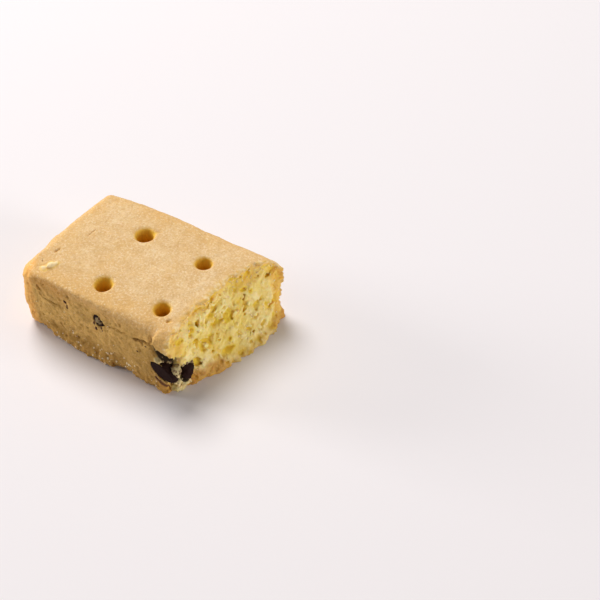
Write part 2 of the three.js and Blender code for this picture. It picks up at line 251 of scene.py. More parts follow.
# Stones that are drawn at random: how many, their breadths and their zone
END = math.inf
NEAR_SIDE = (-END, NEAR_SIDE_Y)
STREWN = {
    "foot sugar": (44, (0.2, 0.5), {"x": (7.0, 25.0), "y": NEAR_SIDE, "z": (0.3, 3.4)}),
    "side sugar": (40, (0.12, 0.28), {"y": NEAR_SIDE, "z": (0.3, 11.0)}),
    "pad": (26, (0.25, 0.6), {"x": (28.0, END), "y": (-END, -7.0)}),
    "chip rim": (22, (0.3, 0.65), {"x": (28.0, END), "y": (-END, -7.0)}),
    "hollow": (16, (0.2, 0.55), {"x": (-END, 31.0), "y": (-END, -11.5)}),
    "corner": (45, (0.3, 0.75), {"x": (20.0, END), "y": (-END, -9.0), "z": (0.4, 5.0)}),
    "top rim": (60, (0.2, 0.42), {"x": (20.0, END), "z": (11.0, END)}),
    "torn end": (110, (0.2, 0.45), {"x": (20.0, END), "z": (1.5, END)}),
}
STREWN_REACH = 0.3   # how close to the pad and the chip their crumbs keep

# Build of the stones: how often the ball is divided, how flat and how deep they lie
STONES = {
    "chip_specks": (2, 0.35, 0.25),
    "sugar_grains": (1, 0.75, 0.2),
    "smeared_crumbs": (2, 0.9, 0.3),
    "crumb_bits": (2, 0.9, 0.35),
}
STONE_ROUGH = 0.22
STONE_STRETCH = (0.75, 1.3)

# Fine mesh
PITCH = 0.14
CHIP_PITCH = 0.09
CHIP_MARGIN = 0.6
GRID_LOW = (-1.4, -14.4, -0.6)
GRID_HIGH = (40.2, 14.4, 15.8)
SKIN_BAND = 0.9   # how far from the plain surface relief is worked out
TORN_BAND = 2.4
MOST_TRIANGLES = 190000
KEPT_WEIGHT = 0.5   # how readily the torn end is thinned out, next to the rest
KEPT_TORN = -1.6   # how deep the torn end reaches there, and how far from the skin
KEPT_SKIN = -0.2

# Colours, linear
TOP_GOLD = (0.74, 0.48, 0.22)
TOP_PALE = (0.86, 0.62, 0.34)
TOP_FLECK = (0.97, 0.80, 0.54)
SIDE_TAN = (0.80, 0.49, 0.145)
SIDE_DARK = (0.58, 0.335, 0.085)
SIDE_SHADED = (0.50, 0.285, 0.07)
# also the painted shade of crevices and cracks down the sides
SIDE_DEEP = (0.36, 0.18, 0.04)
SIDE_FLECK = (0.90, 0.65, 0.30)
# also the painted shade of crevices on the top
CRUST_BROWN = (0.62, 0.34, 0.12)
BAKED_GOLD = (0.76, 0.44, 0.14)
EDGE_BROWN = (0.62, 0.31, 0.075)
CRUST_CREAM = (0.92, 0.72, 0.40)
# cream lit top and golden shaded sides of the stuck flake: painted light and painted shade
FLAKE_LIT_TOP = (0.95, 0.75, 0.43)
FLAKE_SHADED_SIDE = (0.86, 0.57, 0.18)
CRUMB_YELLOW = (0.85, 0.66, 0.23)
# painted highlight on the crumb's ridges
CRUMB_RIDGE_HIGHLIGHT = (0.93, 0.79, 0.42)
# deep gold of random specks, and the painted shade of the pits
CRUMB_SPECK_AND_PIT_SHADE = (0.79, 0.52, 0.02)
CRUMB_TAN = (0.80, 0.57, 0.22)
TOASTED = (0.83, 0.50, 0.095)
BASE_BROWN = (0.60, 0.29, 0.068)
# golden walls of the docker holes, partly their baked colour and partly painted bounced light; darker further
# down as painted shade
HOLE_GOLD = (0.88, 0.54, 0.07)
HOLE_DEPTH_SHADE = (0.70, 0.35, 0.008)
COCOA_AND_HOLLOW_SHADE = (0.026, 0.013, 0.009)
COCOA_RED = (0.055, 0.017, 0.010)
SMEARED = (0.13, 0.045, 0.026)
GREYED = (0.50, 0.40, 0.20)
# orange of the baked end crust, lightened as painted light on the lit corner strip
CORNER_LIT_TAN = (0.97, 0.50, 0.13)
CHOCOLATE = (0.022, 0.0085, 0.0065)
CHOCOLATE_BLOOM = (0.032, 0.015, 0.012)
SUGAR = (0.92, 0.76, 0.47)
FLOOR = (0.87, 0.83, 0.85)

# How far each mask brings its tint in
TINTS = {
    "bake": 0.7, "brow": 0.75, "shade": 0.75, "crevice_shade": 0.28, "crack": 0.8, "corner": 0.85, "pale": 0.75,
    "lit_ridge": 0.65, "toast": 0.9, "pit": 0.8, "base": 0.9, "cocoa": 0.97, "smear": 0.9,
}

# Noise in colours and bumps: grain size, detail and the two levels that become 0 and 1
SPECKLES = {
    "top": (2.6, 4.0, 0.35, 0.65), "top patches": (7.5, 2.0, 0.42, 0.65), "side": (1.6, 4.0, 0.35, 0.7),
    "dark flecks": (0.4, 2.0, 0.48, 0.68), "pale flecks": (0.34, 2.0, 0.5, 0.68), "rim": (0.7, 3.0, 0.4, 0.6),
    "crumb": (0.3, 3.0, 0.45, 0.65), "base": (0.9, 3.0, 0.35, 0.7), "bloom": (0.7, 3.0, 0.45, 0.75),
    "skin bumps": (0.22, 2.0, 0.0, 1.0), "skin bumps coarse": (0.5, 2.0, 0.0, 1.0),
    "chip bumps": (0.25, 2.0, 0.0, 1.0), "stone bumps": (0.2, 2.0, 0.0, 1.0),
}
STONE_SPECKLE = (2.0, 0.35, 0.65)   # the same for the stones, whose grain size varies
NOISE_ROUGHNESS = 0.6
TOP_PATCHES = 0.35   # shares of the tints that noise brings in
CRUMB_SPECKLE = 0.15
BASE_SPECKLE = 0.5
FLECKS = {"top": 0.5, "side": -0.2}   # share on the top, and what the sides add
SKIN_BUMPS = {"skin": 0.9, "crumb": -0.5}   # strength on the skin, and what crumb adds
SUBSURFACE = {"skin": 0.1, "crumb": 0.5}

# Sockets of the mix node for colours
MIX_SHARE, MIX_FIRST, MIX_SECOND, MIX_RESULT = 0, 6, 7, 2

# Camera
CAMERA_AIM = (38.125, 17.262, 0.0)   # point on the floor, in the bar's coordinates
CAMERA_DISTANCE = 225.08
CAMERA_DOWN = 45.54   # degrees below the horizon
CAMERA_TURN = 31.58   # degrees that the view turns from +y towards -x
CAMERA_LENS = 75.0

# Floor and lights, in metres and watts
FLOOR_Z = -0.00002
KEY_WHITE = (1.0, 0.985, 0.96)
FILL_WHITE = (1.0, 0.99, 0.98)
LIGHTS = (
    {"name": "key", "place": (-0.42, 0.24, 0.80), "size": 0.5, "watts": 7.5, "colour": KEY_WHITE},
    {"name": "left_fill", "place": (-0.76, -0.22, 0.18), "size": 0.3, "watts": 3.2, "colour": FILL_WHITE},
    {"name": "right_fill", "place": (0.76, 0.12, 0.17), "size": 0.3, "watts": 2.8, "colour": FILL_WHITE},
)


# Field tools


def smooth(value, low, high):
    """Rises from 0 to 1 between two values."""
    t = np.clip((value - low) / (high - low), 0.0, 1.0)
    return t * t * (3.0 - 2.0 * t)


def falling(value, low, high):
    return 1.0 - smooth(value, low, high)


def blend(a, b, share):
    return a + (b - a) * share


def round_max(a, b, radius):
    """Larger of two distances, rounded off where the two surfaces meet."""
    inside = np.minimum(-radius, np.maximum(a, b))
    return inside + np.hypot(np.maximum(radius + a, 0.0), np.maximum(radius + b, 0.0))


def round_min(a, b, radius):
    return -round_max(-a, -b, radius)


def scramble(h):
    h = (h ^ (h >> np.uint32(13))) * np.uint32(1274126177)
    h = (h ^ (h >> np.uint32(15))) * np.uint32(2246822519)
    return (h ^ (h >> np.uint32(16))).astype(np.float32) / np.float32(2147483647.5) - np.float32(1.0)


def axis_keys(cells, key):
    return cells.astype(np.int32).view(np.uint32) * np.uint32(key)


def seed_of(name):
    return np.uint32(zlib.crc32(name.encode()))


def noise(p, pitch, seed=np.uint32(SEED)):
    """Seeded value noise between -1 and 1 on a lattice of the given pitch, as in the solids."""
    keys, parts = [], []
    for value, key in zip(p, (374761393, 668265263, 1442695041)):
        scaled = value / np.float32(pitch)
        cell = np.floor(scaled)
        t = scaled - cell
        keys.append((axis_keys(cell, key), axis_keys(cell + 1, key)))
        parts.append(t * t * (3.0 - 2.0 * t))
    total = np.zeros(np.shape(p[0]), np.float32)
    for i in (0, 1):
        wx = parts[0] if i else 1.0 - parts[0]
        for j in (0, 1):
            wxy = wx * (parts[1] if j else 1.0 - parts[1])
            key = keys[0][i] ^ keys[1][j] ^ seed
            for k in (0, 1):
                weight = wxy * (parts[2] if k else 1.0 - parts[2])
                total += weight * scramble(key ^ keys[2][k])
    return total


def grain(p, pitch, name):
    """Noise of its own for each name, on a lattice that is turned against the bar."""
    x, y, z = p
    turned = (0.36 * x + 0.48 * y - 0.8 * z, 0.6 * y - 0.8 * x, 0.48 * x + 0.64 * y + 0.6 * z)
    return noise(turned, pitch, seed_of(name))


def relief(p, name):
    height, pitch = RELIEF[name]
    return height * grain(p, pitch, name)


def clumped(p, name):
    """Rounded clumps with creases between them."""
    height, pitch = RELIEF[name]
    return height * (np.abs(grain(p, pitch, name)) - CLUMP_MIDDLE)


def warped(p, name):
    """Points pushed about by noise, so that what is drawn at them loses its regular shape."""
    pitch, reach = WARPS[name]
    return tuple(value + reach * grain(p, pitch, name + axis) for value, axis in zip(p, "xyz"))


def turn_matrix(turn):
    """Turn about x, then the turned y, then the turned z, in degrees."""
    x, y, z = (math.radians(angle) for angle in turn)
    return np.array(Matrix.Rotation(x, 3, "X") @ Matrix.Rotation(y, 3, "Y") @ Matrix.Rotation(z, 3, "Z"))


def ellipsoid(p, at, size, turn=(0, 0, 0)):
    """Approximate distance outside an ellipsoid of the given full sizes."""
    back = turn_matrix(turn).T.astype(np.float32)
    away = [value - np.float32(a) for value, a in zip(p, at)]
    local = [row[0] * away[0] + row[1] * away[1] + row[2] * away[2] for row in back]
    half = [s / 2.0 for s in size]
    near = np.sqrt(sum((c / h) ** 2 for c, h in zip(local, half)))
    slope = np.sqrt(sum((c / h ** 2) ** 2 for c, h in zip(local, half)))
    return near * (near - 1.0) / np.maximum(slope, 1e-6)


def chip_ellipsoid(p, chip):
    return ellipsoid(p, chip["at"], chip["size"], chip["turn"])


def nearest_of(p, lumps):
    """Distance outside the nearest of several ellipsoids."""
    return np.min([ellipsoid(p, *lump) for lump in lumps], axis=0)


def line_distance(p, a, b):
    """Distance from the line between two points, and how far along it the nearest point is."""
    along = np.array(b, np.float32) - np.array(a, np.float32)
    away = [value - np.float32(s) for value, s in zip(p, a)]
    t = sum(v * d for v, d in zip(away, along)) / float(along @ along)
    t = np.clip(t, 0.0, 1.0)
    return np.sqrt(sum((v - t * d) ** 2 for v, d in zip(away, along))), t


# The bar's own fields


def foot_spread(x, y, z):
    start = smooth(x, FOOT_START, FOOT_START + FOOT_START_LENGTH)
    along = start * falling(x, FOOT_END - FOOT_END_LENGTH, FOOT_END)
    foot = falling(z, 0.5 * FOOT_HEIGHT, FOOT_HEIGHT)
    above = falling(z, FOOT_HEIGHT, 2.0 * FOOT_HEIGHT)
    groove = smooth(z, 0.6 * FOOT_HEIGHT, FOOT_HEIGHT) * above
    return np.where(y < 0, along * (FOOT_OUT * foot - FOOT_GROOVE * groove), 0.0)


def wall_distance(x, y, z):
    swell = BULGE * (1.0 - (1.0 - np.clip(x / BULGE_LENGTH, 0.0, 1.0)) ** 2)
    side = np.abs(y) - (WIDTH / 2.0 + swell - PLAN_CORNER)
    end = PLAN_CORNER - (x - END_SET - END_SKEW * y)
    flat = np.minimum(np.maximum(side, end), 0.0)
    return flat + np.hypot(np.maximum(side, 0.0), np.maximum(end, 0.0)) - PLAN_CORNER - foot_spread(x, y, z)


def lip_out(x, y, z):
    """How far the crust of the near corner stands out past its crease."""
    past = smooth(x - LIP["lean"] * (z - HEIGHT), LIP["x"], LIP["x"] + LIP["step"])
    return LIP["out"] * past * smooth(z, LIP["z"], LIP["z"] + LIP["rise"]) * smooth(-y, 7.0, 10.5)


def top_height(x, y):
    across = y / (WIDTH / 2.0)
    bump = np.exp(-(((x - FAR_HUMP["x"]) / FAR_HUMP["reach"]) ** 2))
    hump = FAR_HUMP["rise"] * bump * np.maximum(0.0, across)
    drop = END_DROP * falling(x, END_SET, END_DROP_LENGTH)
    return HEIGHT - CROWN * across ** 2 - drop + hump


def top_round(x, y):
    """Radius of the edge between the top and the walls."""
    far = blend(TOP_EDGE_END, TOP_EDGE_FAR, smooth(x, 0.0, TOP_REACH))
    near = blend(NEAR_EDGE_CRISP, TOP_EDGE_LIP, smooth(x, NEAR_EDGE_BLUNTS_X, TOP_REACH))
    return blend(far, near, smooth(-y, 5.0, 9.0) * smooth(x, 0.5, 5.0))


def skin_distance(x, y, z, uneven=True):
    """Distance outside the bar's baked skin, as if it had not been broken."""
    walls = wall_distance(x, y, z) - lip_out(x, y, z)
    lid = z - top_height(x, y)
    if uneven:
        sided = falling(z, HEIGHT - 2.5, HEIGHT - 0.5)
        lumps = LUMP_HEIGHT * blend(TOP_LUMPS, 1.0, sided) * noise((x, y, z), LUMP_SIZE)
        walls = walls - lumps - SWELL_HEIGHT * noise((x, y, z), SWELL_SIZE)
        lid = lid - TOP_LUMPS * lumps
    return round_max(round_max(walls, lid, top_round(x, y)), -z - BASE_EDGE / 3.0, BASE_EDGE)


def break_distance(x, y, z, uneven=True):
    """Distance outside the torn end, with the crags that the solid has."""
    sweep = (BASE_CREST_Y - y) / (BASE_CREST_Y + WIDTH / 2.0)
    base = BASE_REACH - BASE_SWEEP * sweep ** 2
    bend = np.maximum(0.0, (y - TOP_BEND_Y) / (WIDTH / 2.0 - TOP_BEND_Y))
    top = TOP_REACH + TOP_SWEEP * bend ** TOP_BEND_POWER
    back = FAR_CORNER_BACK * (np.maximum(0.0, y - FAR_CORNER_Y) / FAR_CORNER_SPAN) ** 2
    up = np.clip(z / HEIGHT, 0.0, 1.0)
    rim = np.minimum(np.minimum(z, HEIGHT - z), WIDTH / 2.0 + BULGE - np.abs(y))
    crumb = CRUMB_HOLLOW * smooth(rim, 0.0, CRUST_RIM)
    brow = BROW["out"] * np.exp(-((y - BROW["y"]) ** 2 + (z - BROW["z"]) ** 2) / BROW["spread"] ** 2)
    reach = blend(base, top, up) - back - crumb + brow
    if uneven:
        crag = noise((x, y, z), CRAG_SIZE) + 0.5 * noise((x, y, z), CRAG_SIZE / 2.0)
        reach = reach + CRAG_HEIGHT * crag / 2.0
    return x - reach


def hole_distance(x, y, z):
    """Distance outside the nearest docker hole: a flared mouth over a tapering bore."""
    nearest = np.full(np.broadcast(x, y, z).shape, math.inf, np.float32)
    for hole_x, hole_y, width, lean in HOLES:
        mouth = float(top_height(np.float32(hole_x), np.float32(hole_y)))
        tilt = math.tan(math.radians(lean))
        depth = mouth - z
        off = np.hypot(x - hole_x, y - hole_y + tilt * (z - mouth))
        flare = HOLE_FLARE["out"] * np.exp(-np.maximum(depth, -HOLE_FLARE["above"]) / HOLE_FLARE["depth"])
        bore = off - width / 2.0 * (HOLE_SHARE - HOLE_TAPER * depth) - flare
        nearest = np.minimum(nearest, round_max(bore, depth - HOLE_DEPTH, HOLE_FLOOR_ROUND))
    return nearest


def hollow_distance(p):
    return ellipsoid(p, *HOLLOW)


def fused_distance(p):
    """Distance outside the nearest fused crumb."""
    return nearest_of(warped(p, "fused"), FUSED) - clumped(p, "fused fine")


def pad_distance(p):
    return ellipsoid(p, *PAD)


# Fine relief of the biscuit


def undercut(x, y, z):
    bite = sum(depth * np.exp(-((x - at) / breadth) ** 2) for at, breadth, depth in UNDERCUTS)
    return np.where(y < 0, bite * falling(z, 0.3, 2.4), 0.0)


def skin_relief(p):
    """How far the grain of the baked skin stands out: fine on the top, rough and streaked down the sides."""
    x, y, z = p
    sided = falling(z, HEIGHT - 3.0, HEIGHT - 0.9) * blend(FAR_ROUGH, 1.0, smooth(-y, 6.0, 10.0))
    low = falling(z, 0.5, 3.0) * blend(FAR_RAGGED, 1.0, smooth(-y, 7.0, 10.0))
    fine = relief(p, "fine") + relief(p, "pebbles") + relief(p, "dimples")
    streaks = relief((STREAK_STRETCH * x, STREAK_STRETCH * y, z), "streaks")
    clods = np.abs(relief(p, "clods")) + relief(p, "side grain")
    pits = SIDE_PIT_DEPTH * smooth(relief(warped(p, "side pit"), "side pits"), 0.42, 0.85)
    ragged = relief(p, "ragged") + relief(p, "ragged fine") + clumped(p, "foot crumbs")
    return fine + sided * (streaks + clods - pits - SIDE_SUNK) + low * ragged - undercut(x, y, z)


def crack_depth(p):
    """How deep the cracks cut in, on the near side alike at all depths below its skin."""
    x, y, z = warped(warped(p, "crack"), "crack fine")
    y = np.where(p[1] < NEAR_SIDE_Y, CRACKED_Y, y)
    deepest = np.zeros(np.shape(p[0]), np.float32)
    for start, end, half_width, depth in CRACKS:
        away, along = line_distance((x, y, z), start, end)
        taper = np.clip(4.0 * along * (1.0 - along), 0.0, 1.0) ** 0.5
        width = half_width * blend(CRACK_TIP, 1.0, taper)
        deepest = np.maximum(deepest, depth * taper * np.exp(-(away / width) ** 2))
    return deepest


def crumb_relief(p):
    """Height of the soft clumps and fine grains of torn crumb."""
    bent = warped(p, "clump")
    clumps = relief(bent, "swells") + clumped(bent, "clumps") + clumped(bent, "crumb grains")
    return clumps + relief(p, "crumb fine")


def pit_depth(p):
    """Depth of the ragged pits of the crumb, thick in some zones and rare in others."""
    bent = warped(p, "pit")
    opened = relief(bent, "pits") + relief(bent, "pits fine")
    return PIT_DEPTH * smooth(opened + relief(p, "pit zones"), 0.15, 1.0)


def dent_distance(p):
    return nearest_of(warped(p, "dent"), DENTS)


def edge_tears(p):
    """How far the torn crust stands out: jagged at the rim, toothed at the far side, ragged at the base."""
    x, y, z = p
    jagged = relief(p, "jagged") + relief(p, "jagged fine")
    teeth = clumped((TOOTH_STRETCH * x, TOOTH_STRETCH * y, z), "teeth")
    teeth = teeth * smooth(y, 10.4, 11.8) * smooth(z, 1.5, 3.5)
    ragged = relief(p, "flaps") + relief(p, "flaps fine")
    ragged = ragged * falling(z, 1.0, 2.4) * (1.0 - FAR_FLAPS * smooth(y, 9.0, 11.0))
    return jagged + teeth + ragged


def torn_distance(p, skin):
    """Distance outside the torn end with its crumb, clumps and pits."""
    torn = break_distance(*p)
    near = np.abs(torn) < TORN_BAND
    q = tuple(value[near] for value in p)
    inner = smooth(-skin[near], 0.2, 1.4)
    crumb = crumb_relief(q) - inner * pit_depth(q)
    plain = torn[near] - (1.0 - inner) * edge_tears(q) - blend(RIM_CRUMB, 1.0, inner) * crumb
    torn[near] = round_max(plain, relief(q, "dent wall") - dent_distance(q), ROUND["dent"])
    return torn


def rough_distance(p):
    """Distance outside the biscuit without its fine relief, everywhere in the grid."""
    body = np.maximum(skin_distance(*p, uneven=False), break_distance(*p, uneven=False))
    body = np.maximum(body, -hole_distance(*p))
    body = np.maximum(body, -hollow_distance(p))
    for chip in CHIPS.values():
        body = np.maximum(body, -chip_ellipsoid(p, chip))
    return body


def biscuit_distance(p):
    """Distance outside the biscuit with all its relief."""
    bare = skin_distance(*p)
    skin = bare - skin_relief(p) + crack_depth(p)
    body = round_max(skin, torn_distance(p, bare), blend(*RIM_ROUND, smooth(p[2], *TOP_RIM_Z)))
    body = round_max(body, relief(p, "hollow") - hollow_distance(p), ROUND["hollow"])
    body = round_min(body, fused_distance(p), ROUND["fused"])
    body = round_max(body, relief(p, "hole") - hole_distance(*p), ROUND["hole"])
    gap = relief(p, "pocket") + POCKET_GAP
    for chip in CHIPS.values():
        body = np.maximum(body, gap - chip_ellipsoid(p, chip))
    return round_max(body, -p[2], ROUND["base"])


def chip_distance(p, chip):
    lump = chip["lumps"] * (relief(p, "chip lump") + relief(p, "chip fine"))
    flush = chip["flush"] - p[1] + relief(p, "chip face")
    return round_max(chip_ellipsoid(p, chip) - lump, flush, ROUND["chip"])


# Meshing


def grid_axes(low, high, pitch):
    return [np.arange(a, b + pitch, pitch, dtype=np.float32) for a, b in zip(low, high)]


def surface_net(field, axes):
    """Vertices and outward quads of the surface where a field on a grid changes sign."""
    inside = field < 0
    count = np.zeros(tuple(n - 1 for n in field.shape), np.int8)
    corners = list(np.ndindex(2, 2, 2))
    for i, j, k in corners:
        count += inside[i:i + count.shape[0], j:j + count.shape[1], k:k + count.shape[2]]
    cells = np.argwhere((count > 0) & (count < 8))
    values = [field[tuple((cells + c).T)] for c in corners]
    total = np.zeros((len(cells), 3), np.float32)
    hits = np.zeros(len(cells), np.float32)
    for a, first in enumerate(corners):
        for b, second in enumerate(corners):
            if b <= a or sum(abs(m - n) for m, n in zip(first, second)) != 1:
                continue
            crossed = (values[a] < 0) != (values[b] < 0)
            t = np.where(crossed, values[a] / np.where(crossed, values[a] - values[b], 1.0), 0.0)
            step = np.array(second) - np.array(first)
            total += crossed[:, None] * (np.array(first) + t[:, None] * step)
            hits += crossed
    place = cells + total / hits[:, None]
    steps = np.array([axis[1] - axis[0] for axis in axes], np.float32)
    vertices = np.array([axis[0] for axis in axes], np.float32) + place * steps
    index = np.full(count.shape, -1, np.int32)
    index[tuple(cells.T)] = np.arange(len(cells), dtype=np.int32)
    quads = []
    for axis in range(3):
        u, v = (axis + 1) % 3, (axis + 2) % 3
        low, high = [slice(None)] * 3, [slice(None)] * 3
        low[axis], high[axis] = slice(None, -1), slice(1, None)
        here, there = inside[tuple(low)], inside[tuple(high)]
        edges = np.argwhere(here != there)
        edges = edges[(edges[:, u] > 0) & (edges[:, v] > 0)]
        edges = edges[(edges[:, u] < count.shape[u]) & (edges[:, v] < count.shape[v])]
        ring = []
        for du, dv in ((1, 1), (0, 1), (0, 0), (1, 0)):
            cell = edges.copy()
            cell[:, u] -= du
            cell[:, v] -= dv
            ring.append(index[tuple(cell.T)])
        ring = np.stack(ring, 1)
        outward = here[tuple(edges.T)]
        quads.append(np.where(outward[:, None], ring, ring[:, ::-1]))
    return vertices, np.concatenate(quads)


def largest_body(vertices, quads):
    """Keeps the one connected surface with the most vertices."""
    label = np.arange(len(vertices), dtype=np.int64)
    pairs = np.concatenate([quads[:, (0, 1)], quads[:, (1, 2)], quads[:, (2, 3)], quads[:, (3, 0)]])
    while True:
        low = np.minimum(label[pairs[:, 0]], label[pairs[:, 1]])
        lowered = label.copy()
        np.minimum.at(lowered, label[pairs[:, 0]], low)
        np.minimum.at(lowered, label[pairs[:, 1]], low)
        lowered = lowered[lowered]
        if np.array_equal(lowered, label):
            break
        label = lowered
    names, sizes = np.unique(label, return_counts=True)
    keep = label == names[np.argmax(sizes)]
    renumber = np.cumsum(keep) - 1
    return vertices[keep], renumber[quads[keep[quads[:, 0]]]]


def to_frame(points):
    return (np.asarray(points, np.float32) + np.array(ZERO_IN_FRAME, np.float32)) * np.float32(MM)


def to_bar(points):
    return np.asarray(points, np.float32) / np.float32(MM) - np.array(ZERO_IN_FRAME, np.float32)


def mesh_object(name, vertices, faces):
    """Smooth-shaded object from vertices in the bar's coordinates and faces of equal length."""
    sides = faces.shape[1]
    mesh = bpy.data.meshes.new(name)
    mesh.vertices.add(len(vertices))
    mesh.vertices.foreach_set("co", to_frame(vertices).ravel())
    mesh.loops.add(faces.size)
    mesh.loops.foreach_set("vertex_index", faces.astype(np.int32).ravel())
    mesh.polygons.add(len(faces))
    mesh.polygons.foreach_set("loop_start", np.arange(0, faces.size, sides, dtype=np.int32))
    mesh.update(calc_edges=True)
    mesh.validate()
    mesh.shade_smooth()
    piece = bpy.data.objects.new(name, mesh)
    bpy.context.scene.collection.objects.link(piece)
    return piece


def thin_out(piece, most, kept):
    """Collapses the flattest triangles until at most so many are left, and those of the kept points last."""
    triangles = sum(len(face.vertices) - 2 for face in piece.data.polygons)
    if triangles <= most:
        return
    group = piece.vertex_groups.new(name="thinned")
    group.add(np.flatnonzero(~kept).tolist(), 1.0, "REPLACE")
    group.add(np.flatnonzero(kept).tolist(), KEPT_WEIGHT, "REPLACE")
    modifier = piece.modifiers.new("thin_out", "DECIMATE")
    modifier.ratio = most / triangles
    modifier.vertex_group = group.name
    graph = bpy.context.evaluated_depsgraph_get()
    thinned = bpy.data.meshes.new_from_object(piece.evaluated_get(graph))
    piece.modifiers.remove(modifier)
    piece.vertex_groups.clear()
    piece.data = thinned
    thinned.shade_smooth()


def points_of(piece):
    flat = np.zeros(3 * len(piece.data.vertices), np.float32)
    piece.data.vertices.foreach_get("co", flat)
    return to_bar(flat.reshape(-1, 3))


def build_biscuit():
    axes = grid_axes(GRID_LOW, GRID_HIGH, PITCH)
    spread = np.ix_(*axes)
    field = np.broadcast_to(rough_distance(spread), tuple(len(a) for a in axes)).astype(np.float32)
    torn = break_distance(*spread, uneven=False)
    band = (np.abs(field) < SKIN_BAND) | ((np.abs(torn) < TORN_BAND) & (field < TORN_BAND))
    near = np.nonzero(band)
    p = tuple(axis[n] for axis, n in zip(axes, near))
    field[near] = biscuit_distance(p)
    piece = mesh_object("biscuit_body", *largest_body(*surface_net(field, axes)))
    x, y, z = points_of(piece).T
    kept = (break_distance(x, y, z) > KEPT_TORN) & (skin_distance(x, y, z) < KEPT_SKIN) & (x > FOOT_END)
    thin_out(piece, MOST_TRIANGLES, kept)
    return piece


def build_chip(name, chip):
    reach = max(chip["size"]) / 2.0 + CHIP_MARGIN
    axes = grid_axes([a - reach for a in chip["at"]], [a + reach for a in chip["at"]], CHIP_PITCH)
    p = tuple(np.meshgrid(*axes, indexing="ij"))
    return mesh_object(name + "_body", *largest_body(*surface_net(chip_distance(p, chip), axes)))


# Masks that the colours of the biscuit follow


def store(piece, name, values):
    attribute = piece.data.attributes.new(name, "FLOAT", "POINT")
    attribute.data.foreach_set("value", np.clip(values, 0.0, 1.0).astype(np.float32))


def value_of(piece, name):
    values = np.zeros(len(piece.data.vertices), np.float32)
    piece.data.attributes[name].data.foreach_get("value", values)
    return values


def skin_masks(p, torn, walls, lid, crumb):
    """Sides, browned edges, the end corner with painted light, crevices and side cracks with painted shade,
    the pale rim of the break and shaded parts.
    """
    x, y, z = p
    bare = 1.0 - crumb
    side = blend(smooth(walls - lid, -0.8, 1.8), smooth(walls - lid, -2.8, 3.4), smooth(y, -4.0, 6.0))
    bake = smooth(walls, -6.5, -0.8) * smooth(lid, -4.0, -0.6)
    near_bake = smooth(walls, -7.0, -0.4) * smooth(lid, -3.4, -0.8)
    brow = smooth(lid, -4.6, -1.6) * falling(lid, -0.7, -0.1) * falling(x, 8.0, 14.0)
    upright = falling(x + relief(p, "corner"), 1.8, 3.4)
    low_relief = skin_relief(p) + undercut(x, y, z)
    shade = np.maximum(smooth(x, 19.0, 28.0) * falling(z, 7.0, 10.5), falling(z, 2.0, 5.5))
    return {
        "side": side * blend(FAR_TINT, 1.0, smooth(-y, 5.0, 10.0)),
        "bake": blend(bake, near_bake, smooth(-y, 6.0, 9.5)) * bare,
        "brow": brow * smooth(-y, 10.5, 12.0),
        # painted light, partly the orange of baked crust, on the near corner of the intact end
        "corner": upright * smooth(-y, 8.6, 11.0),
        # painted shade: the skin darkens where its relief sinks into crevices and bites
        "crevice_shade": falling(low_relief, -0.16, 0.06) * bare,
        # painted shade in the cracks down the sides; on the top the cracks turn golden
        "crack": smooth(crack_depth(p), 0.08, 0.5) * bare,
        "pale": smooth(torn, -1.1, -0.2) * bare * smooth(z, *TOP_RIM_Z),
        "shade": shade * smooth(-y, 9.0, 12.0),
    }


def crumb_masks(p, torn, walls, lid, depth, fused):
    """Pits with painted shade, ridges with painted highlights, flakes, toasted parts of the crumb, and the
    brown of the base.
    """
    x, y, z = p
    height = crumb_relief(p) - pit_depth(p)
    pit = np.maximum(falling(height, -0.6, 0.08), falling(dent_distance(p), 0.05, 0.5))
    flake = fused * falling(x, 8.0, 9.0)
    uneven = relief(p, "toast")
    toast = falling(-lid + TOAST_UNEVEN["lid"] * uneven, 0.0, 3.4)
    toast = np.maximum(toast, falling(-walls + TOAST_UNEVEN["walls"] * uneven, 1.7, 3.6))
    across, up = (y - TOAST_SPOT["y"]) / TOAST_SPOT["breadth"], (z - TOAST_SPOT["z"]) / TOAST_SPOT["height"]
    toast = np.maximum(toast, np.exp(-across ** 2 - up ** 2))
    half = falling(y, -4.5, -0.5)
    base = falling(z + relief(p, "base edge") - BASE_RISE * half, 0.5, 2.0)
    base = base * blend(BASE_FAINT, 1.0, np.maximum(half, smooth(y, 7.5, 10.0)))
    return {
        # painted shade, deep gold, in the crumb's pits and dents
        "pit": pit * (1.0 - fused) * smooth(y, -13.0, -10.5),
        # painted highlight on the crumb's ridges, and on the stuck flake its lit top
        "lit_ridge": blend(smooth(height, -0.1, 0.28), smooth(-depth, 0.1, 0.45), flake),
        "flake": flake,
        "toast": toast * (1.0 - fused) * smooth(y, -15.5, -10.0),
        "base": base * (1.0 - fused) * blend(BASE_FAINT, 1.0, smooth(torn, -2.4, -1.2)),
    }


def chocolate_masks(p, hollow, fused):
    """Crumb greyed by chocolate, and in the hollow also as painted shade; dark patches in the hollow, partly
    cocoa and partly painted shade; a halo of cocoa; and the smear.
    """
    x, _, z = p
    behind_lip = falling(x, 30.9, 31.7)
    pad = falling(pad_distance(p), 0.1, 0.5)
    corner = fused * smooth(x, 20.0, 22.0) * blend(*GREY_CORNER, smooth(z, 2.6, 3.4))
    patches = smooth(relief(p, "cocoa"), -0.6, -0.3) * behind_lip
    halo = chip_ellipsoid(p, CHIPS["chip_break"]) + relief(p, "halo")
    smear, _ = line_distance(warped(p, "smear"), SMEAR["from"], SMEAR["to"])
    return {
        "grey": np.maximum(np.maximum(pad, HOLLOW_GREY_SHADE * hollow * behind_lip), corner),
        "cocoa": np.maximum(hollow * patches, falling(halo, 0.1, 0.35)),
        "smear": falling(smear, SMEAR_CORE * SMEAR["width"], SMEAR["width"]),
    }


